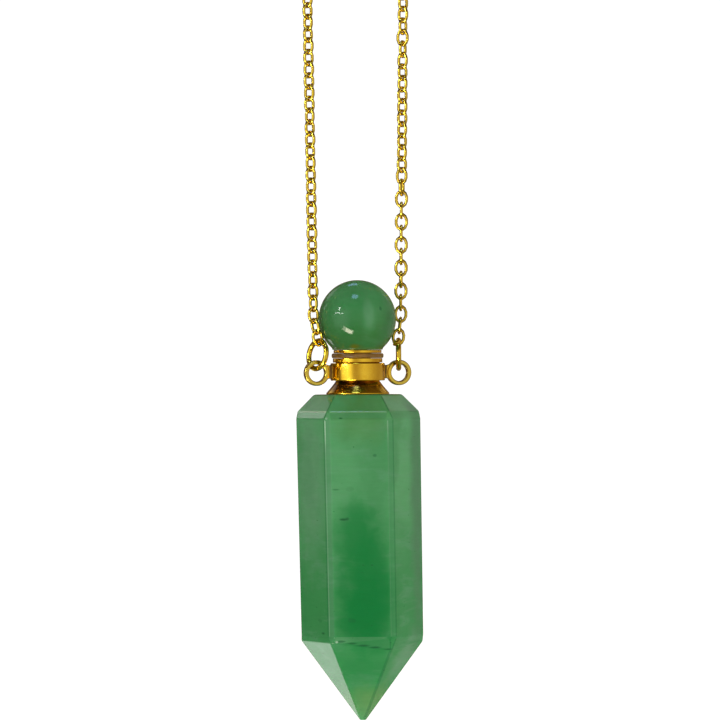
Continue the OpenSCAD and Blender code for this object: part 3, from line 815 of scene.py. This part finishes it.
# the clasp: a claw with a sprung lever and an eye, and the ring that it holds
clasp = {
    "mouth": (-0.28, 2.4), "eye": (-3.02, 2.4),     # mm aside and up, their middles
    "eyeRing": 0.80, "eyeWire": 0.25,
    # arcs round the mouth: mm, degrees where each starts and that it turns, and how it gets slimmer
    "claw": {"radius": 1.82, "wide": 0.56, "thick": 0.80, "from": 196, "turn": -250,
             "blunt": 0.55, "taper": 0.55, "taperFrom": 0.55, "steps": 28, "sides": 20},
    "lever": {"radius": 1.80, "wide": 0.34, "thick": 0.52, "from": 212, "turn": 86,
              "blunt": 1.0, "taper": 0.35, "taperFrom": 0.0, "steps": 16, "sides": 16},
    "bluntOver": 3.0,           # how fast an arc reaches its full thickness from its blunt start
    # egg shapes: mm, half widths and place, degrees that it is tilted, and its segments
    "shoulder": {"half": (0.78, 0.78, 1.0), "at": (-2.02, 0, 2.3), "tilt": 0, "segments": (24, 16)},
    "knob": {"half": (0.22, 0.5, 0.42), "at": (-1.75, 0, 0.72), "tilt": 40, "segments": (18, 12)},
}


def addArc(bm, arc):
    stations = []
    for i in range(arc["steps"] + 1):
        share = i / arc["steps"]
        angle = radians(arc["from"] + arc["turn"] * share)
        slim = 1 - arc["taper"] * max(0.0, share - arc["taperFrom"]) / (1 - arc["taperFrom"])
        slim *= min(1.0, arc["blunt"] + share * clasp["bluntOver"])
        outward = Vector((cos(angle), 0, sin(angle)))
        onward = Vector((sin(angle), 0, -cos(angle)))
        spot = Vector((clasp["mouth"][0], 0, clasp["mouth"][1])) + outward * arc["radius"]
        axes = Matrix((outward * arc["wide"] * slim, Vector((0, 1, 0)) * arc["thick"] * slim, onward))
        stations.append(Matrix.Translation(spot) @ axes.transposed().to_4x4())
    shell = bmesh.new()
    sweepCircle(shell, stations, arc["sides"])
    tidyMesh(shell)
    joinShell(bm, shell, Matrix())


def addEgg(bm, egg):
    shell = bmesh.new()
    around, upward = egg["segments"]
    bmesh.ops.create_uvsphere(shell, u_segments=around, v_segments=upward, radius=1.0)
    bmesh.ops.scale(shell, vec=egg["half"], verts=shell.verts)
    joinShell(bm, shell, Matrix.Translation(egg["at"]) @ Matrix.Rotation(radians(egg["tilt"]), 4, "Y"))


bm = bmesh.new()
addArc(bm, clasp["claw"])
addEgg(bm, clasp["shoulder"])
shell = bmesh.new()
spinWire(shell, clasp["eyeRing"], clasp["eyeWire"], steps=40, sides=14)
joinShell(bm, shell, Matrix.Translation((clasp["eye"][0], 0, clasp["eye"][1]))
          @ Matrix.Rotation(pi / 2, 4, "X"))
bmesh.ops.recalc_face_normals(bm, faces=bm.faces)
makePiece("claspBody", bm, wireGold, "necklace", "gold_plate", "clasp")

bm = bmesh.new()
addArc(bm, clasp["lever"])
addEgg(bm, clasp["knob"])
bmesh.ops.recalc_face_normals(bm, faces=bm.faces)
makePiece("claspLever", bm, wireGold, "necklace", "gold_plate", "clasp")

claspRing = {"ring": 2.0, "wire": 0.35}
low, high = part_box("clasp_ring")
bm = bmesh.new()
spinWire(bm, claspRing["ring"], claspRing["wire"], steps=80, sides=18)
bmesh.ops.translate(bm, vec=(low + high) / 2 / mm, verts=bm.verts)
makePiece("claspRing", bm, wireGold, "necklace", "gold_plate", "clasp_ring")

# floor, light and surroundings
studio = {
    "floorHeight": -1.0, "floorRadius": 12,     # metres
    "floorWhite": 0.8, "floorRoughness": 0.9, "floorGlow": 1.0,
    "lampsRound": (0, 0, -0.218), "lampDistance": 0.8,      # metres, the bottle's neck and how far from it
}
floorMaterial = bpy.data.materials.new("paleFloor")
floorMaterial.use_nodes = True
floorShader = floorMaterial.node_tree.nodes["Principled BSDF"]
floorShader.inputs["Base Color"].default_value = (studio["floorWhite"],) * 3 + (1,)
floorShader.inputs["Roughness"].default_value = studio["floorRoughness"]
floorShader.inputs["Emission Color"].default_value = (1, 1, 1, 1)
floorShader.inputs["Emission Strength"].default_value = studio["floorGlow"]
bm = bmesh.new()
bmesh.ops.create_circle(bm, cap_ends=True, segments=64, radius=studio["floorRadius"])
bmesh.ops.translate(bm, vec=(0, 0, studio["floorHeight"]), verts=bm.verts)
mesh = bpy.data.meshes.new("floor")
bm.to_mesh(mesh)
bm.free()
mesh.materials.append(floorMaterial)
floor = bpy.data.objects.new("floor", mesh)
floor.visible_glossy = False
bpy.context.collection.objects.link(floor)

# The room that the metal mirrors
room = {
    # degrees to the camera's right of the camera, and brightness there
    "round": [
        (-180, 0.20), (-150, 0.14), (-128, 0.12), (-104, 0.09), (-88, 0.08), (-80, 0.28), (-71, 1.0),
        (-56, 1.3), (-42, 1.55), (-33, 1.25), (-26, 0.9), (-17, 0.5), (-2, 0.48), (10, 0.6), (23, 0.78),
        (36, 0.74), (50, 0.66), (64, 0.58), (80, 0.47), (98, 0.40), (119, 0.45), (140, 0.4), (154, 0.31),
        (180, 0.20)],
    "brightest": 2.0,
    "brown": (0.55, 0.8),       # how much green and blue the darkest parts lose
    "ceiling": (0.10, 0.065, 0.035, 1), "ceilingFrom": (0.30, 0.62),    # colour, and sines of the heights
    "table": (0.26, 0.23, 0.17, 1), "tableFrom": (-0.25, -0.60),
    "picture": 1.08,            # what the camera sees behind the object
}
world = bpy.data.worlds.new("room")
bpy.context.scene.world = world
world.use_nodes = True
tree = world.node_tree
tree.nodes.clear()
toward = addNode(tree, "ShaderNodeTexCoord").outputs["Generated"]


def lying(direction):
    dot = addNode(tree, "ShaderNodeVectorMath", {0: toward, 1: direction}, operation="DOT_PRODUCT")
    return dot.outputs["Value"]


height = lying((0, 0, 1))
compass = computed(tree, lying(rightward), lying(-away), "ARCTAN2")
position = addNode(tree, "ShaderNodeMapRange", {"Value": compass, "From Min": -pi, "From Max": pi})
ramp = addNode(tree, "ShaderNodeValToRGB", {0: position.outputs[0]})
elements = ramp.color_ramp.elements
for i, (bearing, bright) in enumerate(room["round"]):
    spot = (bearing + 180) / 360
    element = elements[i] if i < 2 else elements.new(spot)
    element.position = spot
    shade = bright / room["brightest"]
    green, blue = (shade * (1 - loss * max(0.0, 1 - bright) ** 2) for loss in room["brown"])
    element.color = (shade, green, blue, 1)
walls = addNode(tree, "ShaderNodeVectorMath", {0: ramp.outputs[0], "Scale": room["brightest"]},
                operation="SCALE").outputs[0]
colour = mixed(tree, ramped(tree, height, *room["ceilingFrom"]), walls, room["ceiling"])
colour = mixed(tree, ramped(tree, height, *room["tableFrom"]), colour, room["table"])
roomLight = addNode(tree, "ShaderNodeBackground", {0: colour, "Strength": 1.0}).outputs[0]
picture = addNode(tree, "ShaderNodeBackground", {0: (1, 1, 1, 1), "Strength": room["picture"]}).outputs[0]
seen = addNode(tree, "ShaderNodeLightPath").outputs["Is Camera Ray"]
blend = addNode(tree, "ShaderNodeMixShader", {0: seen, 1: roomLight, 2: picture}).outputs[0]
addNode(tree, "ShaderNodeOutputWorld", {"Surface": blend})

# Small lamps that show only as reflections, and two soft lights that don't; each is aimed at the
# bottle's neck, and its direction is given from the camera: right, away and up
skyTint, warmTint, noTint = (0.35, 0.55, 1.0), (1.0, 0.9, 0.72), (1, 1, 1)
lamps = {
    "ceilingLampBack": {"toward": (-0.107, 0.571, 0.814), "size": (0.18, 0.16), "bright": 3.5,
                        "tint": skyTint},
    "ceilingLampFront": {"toward": (-0.107, -0.345, 0.932), "size": (0.20, 0.18), "bright": 11,
                         "tint": skyTint},
    "warmCard": {"toward": (-0.405, -0.70, -0.60), "size": (0.26, 0.15), "bright": 17, "tint": warmTint,
                 "tilt": -35},
    "warmHalo": {"toward": (-0.46, -0.689, -0.56), "size": (0.44, 0.17), "bright": 10, "tint": warmTint,
                 "tilt": -35},
    "windowBar": {"toward": (-0.77, -0.50, 0.25), "size": (0.36, 0.04), "bright": 24, "tint": noTint},
    "windowSpot": {"toward": (-0.794, -0.459, 0.45), "size": (0.07, 0.09), "bright": 36, "tint": noTint},
    "whitePaper": {"toward": (-0.605, 0.651, -0.459), "size": (0.17, 0.17), "bright": 2.2, "tint": noTint},
    "limbLow": {"toward": (-0.73, 0.683, 0.03), "size": (0.10, 0.05), "bright": 2.6, "tint": noTint},
    "limbHigh": {"toward": (-0.77, 0.557, 0.30), "size": (0.04, 0.11), "bright": 2.2, "tint": noTint},
    "shelfLeft": {"toward": (-0.508, 0.707, 0.493), "size": (0.26, 0.22), "bright": 0.6, "tint": noTint},
    "shelfRight": {"toward": (0.508, 0.707, 0.493), "size": (0.26, 0.22), "bright": 0.45, "tint": noTint},
    "softFront": {"toward": (0.35, -0.75, 0.55), "size": (1.2, 1.2), "bright": 1.1, "tint": (1, 0.98, 0.95),
                  "soft": True},
    "softBack": {"toward": (-0.45, 0.85, 0.45), "size": (1.2, 1.2), "bright": 0.8, "tint": (0.97, 0.99, 1),
                 "soft": True},
}
for name, look in lamps.items():
    side, back, up = look["toward"]
    direction = (rightward * side + away * back + Vector((0, 0, up))).normalized()
    light = bpy.data.lights.new(name, "AREA")
    light.shape = "RECTANGLE"
    light.size, light.size_y = look["size"]
    light.energy = look["bright"] * pi * look["size"][0] * look["size"][1]
    light.color = look["tint"]
    lamp = bpy.data.objects.new(name, light)
    lamp.location = Vector(studio["lampsRound"]) + direction * studio["lampDistance"]
    lamp.rotation_mode = "QUATERNION"
    lamp.rotation_quaternion = (direction.to_track_quat("Z", "Y")
                                @ Quaternion((0, 0, 1), radians(look.get("tilt", 0))))
    lamp.visible_diffuse = look.get("soft", False)
    lamp.visible_glossy = not lamp.visible_diffuse
    bpy.context.collection.objects.link(lamp)
bpy.context.scene.view_settings.view_transform = "Standard"
print("studio lit")
